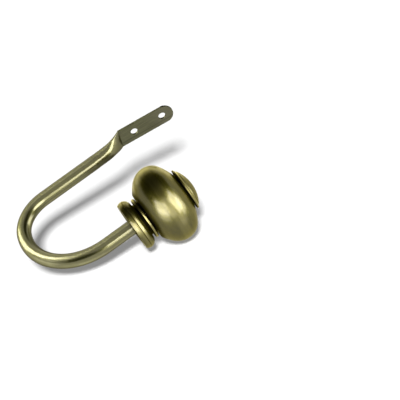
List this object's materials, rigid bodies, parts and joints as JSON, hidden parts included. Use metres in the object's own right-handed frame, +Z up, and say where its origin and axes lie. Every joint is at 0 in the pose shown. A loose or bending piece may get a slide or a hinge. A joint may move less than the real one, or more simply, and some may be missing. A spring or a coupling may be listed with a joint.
{
  "type": "curtain holdback",
  "caption": "U-shaped curtain holdback: a bent tube with a flattened, screw-holed wall plate at one end and a turned knob finial at the other, holding a drawn curtain in its loop.",
  "frame": {"origin": "midway between the two screw holes, on the plate's wall face", "axes": "+X along the wall from the bend towards the plate's tip, +Y into the wall, +Z up, with the U lying level"},
  "size_m": [0.1371, 0.1077, 0.057],
  "materials": {
    "arm_metal": "antique brass plate, finely brushed round the tube",
    "finial_metal": "antique brass plate, satin, dark in its grooves",
    "inner_steel": "zinc plated"
  },
  "bodies": {
    "root": {"arm": "arm_metal", "collar": "finial_metal", "neck_ring": "finial_metal", "knob": "finial_metal", "end_cap": "finial_metal", "end_plug": "inner_steel", "finial_stud": "inner_steel"}
  },
  "joints": []
}
